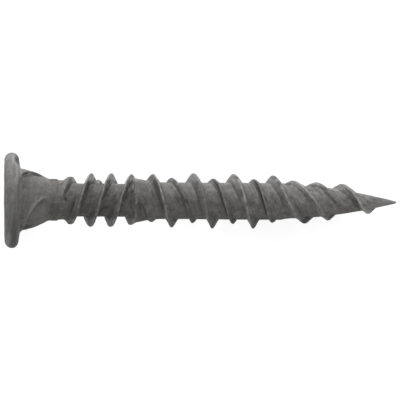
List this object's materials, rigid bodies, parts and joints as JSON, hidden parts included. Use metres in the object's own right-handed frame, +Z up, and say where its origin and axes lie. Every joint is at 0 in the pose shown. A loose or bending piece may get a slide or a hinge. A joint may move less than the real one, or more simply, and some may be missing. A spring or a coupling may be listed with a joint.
{
  "type": "drywall board screw",
  "caption": "Wafer-head board screw with nibs under the head, opposed upper and high-low lower threads and a sharp point.",
  "frame": {"origin": "centre of the lying screw's bounding box, on the surface it lies on", "axes": "+Z up; the screw lies on the rim of its head and a crest of its high thread, point towards +X, with the side that the picture shows facing up"},
  "size_m": [0.032, 0.0078, 0.0077],
  "materials": {
    "coated_steel": "matte"
  },
  "bodies": {
    "root": {"screw": "coated_steel"}
  },
  "joints": []
}
